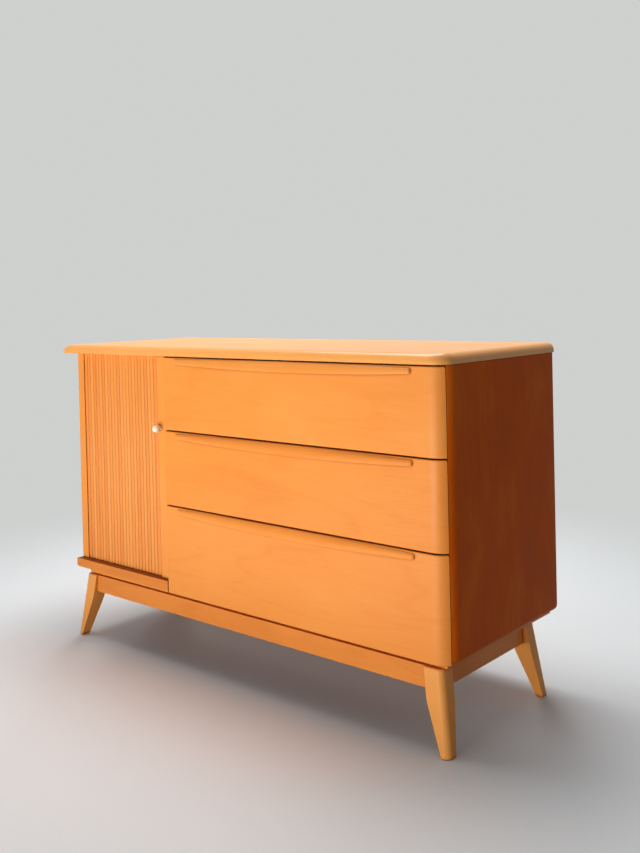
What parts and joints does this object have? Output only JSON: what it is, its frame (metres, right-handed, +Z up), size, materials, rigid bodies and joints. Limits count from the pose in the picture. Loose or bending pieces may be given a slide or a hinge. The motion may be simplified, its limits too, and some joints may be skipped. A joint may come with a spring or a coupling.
{
  "type": "credenza",
  "caption": "Low wooden credenza on splayed tapered legs: sliding tambour curtain before a shelved bay on the left, deep drawers with lip pulls on the right.",
  "frame": {"origin": "on the floor under the middle of the bounding box", "axes": "+X to the right along the front, +Y to the back, +Z up"},
  "size_m": [1.24, 0.4584, 0.783],
  "materials": {
    "maple": "satin honey lacquer",
    "inner_wood": "bare, sanded",
    "plywood": "bare, sanded",
    "canvas": "plain weave",
    "ivory": "polished",
    "steel": "plain"
  },
  "bodies": {
    "case": {"top_board": "maple", "sill_board": "maple", "bottom_board": "maple", "right_side_panel": "maple", "left_side_panel": "maple", "partition": "inner_wood", "back_panel": "plywood", "bay_liner": "plywood", "shelf": "inner_wood", "shelf_pins": "steel", "drawer_1_rail": "inner_wood", "drawer_1_left_runner": "inner_wood", "drawer_1_right_runner": "inner_wood", "drawer_2_rail": "inner_wood", "drawer_2_left_runner": "inner_wood", "drawer_2_right_runner": "inner_wood", "drawer_3_rail": "inner_wood", "drawer_3_left_runner": "inner_wood", "drawer_3_right_runner": "inner_wood", "front_left_leg": "maple", "front_right_leg": "maple", "rear_left_leg": "maple", "rear_right_leg": "maple", "front_rail": "maple", "rear_rail": "maple", "left_rail": "maple", "right_rail": "maple", "front_left_corner_block": "inner_wood", "front_right_corner_block": "inner_wood", "rear_left_corner_block": "inner_wood", "rear_right_corner_block": "inner_wood", "base_screws": "steel", "back_screws": "steel"},
    "drawer_1": {"drawer_1_front": "maple", "drawer_1_left_side": "inner_wood", "drawer_1_right_side": "inner_wood", "drawer_1_bottom": "plywood", "drawer_1_back": "inner_wood"},
    "drawer_2": {"drawer_2_front": "maple", "drawer_2_left_side": "inner_wood", "drawer_2_right_side": "inner_wood", "drawer_2_bottom": "plywood", "drawer_2_back": "inner_wood"},
    "drawer_3": {"drawer_3_front": "maple", "drawer_3_left_side": "inner_wood", "drawer_3_right_side": "inner_wood", "drawer_3_bottom": "plywood", "drawer_3_back": "inner_wood"},
    "tambour": {"lead_stile": "maple", "door_knob": "ivory", "knob_screw": "steel", "tambour_slats": "maple", "tambour_canvas": "canvas"}
  },
  "joints": [
    {"name": "drawer_1_slide", "type": "slide", "parent": "case", "child": "drawer_1", "axis": [0, -1, 0], "range_m": [0, 0.33]},
    {"name": "drawer_2_slide", "type": "slide", "parent": "case", "child": "drawer_2", "axis": [0, -1, 0], "range_m": [0, 0.33]},
    {"name": "drawer_3_slide", "type": "slide", "parent": "case", "child": "drawer_3", "axis": [0, -1, 0], "range_m": [0, 0.33]},
    {"name": "tambour_slide", "type": "slide", "parent": "case", "child": "tambour", "axis": [-1, 0, 0], "range_m": [0, 0.295], "deforming": ["tambour_slats", "tambour_canvas"]}
  ]
}
